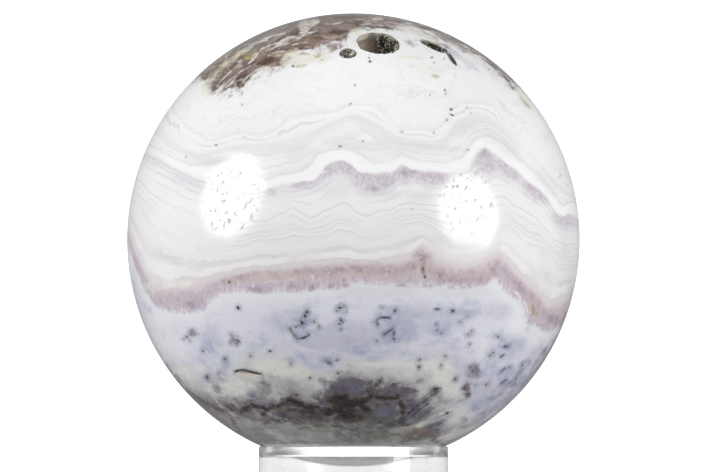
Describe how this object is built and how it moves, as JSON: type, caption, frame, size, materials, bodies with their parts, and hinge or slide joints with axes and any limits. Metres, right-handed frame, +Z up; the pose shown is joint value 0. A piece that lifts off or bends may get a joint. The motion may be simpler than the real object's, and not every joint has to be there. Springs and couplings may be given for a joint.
{
  "type": "banded agate sphere on a ring stand",
  "caption": "Polished banded agate ball with small crystal-lined hollows, resting on a clear ring stand for display.",
  "frame": {"origin": "middle of the ring stand's foot, on the surface it stands on", "axes": "+Z up through the ball's centre, -Y towards the viewer of the ball's best side, +X to that viewer's right"},
  "size_m": [0.076, 0.076, 0.0919],
  "materials": {
    "agate": "polished to a mirror, banded white, lavender, brown-purple and cream",
    "druse": "small glassy quartz crystals, dark olive to grey",
    "clear_acrylic": "clear and polished"
  },
  "bodies": {
    "root": {"ball": "agate", "main_hollow_druse": "druse", "side_hollow_druse": "druse", "small_hollow_druse": "druse", "ring_stand": "clear_acrylic"}
  },
  "joints": []
}
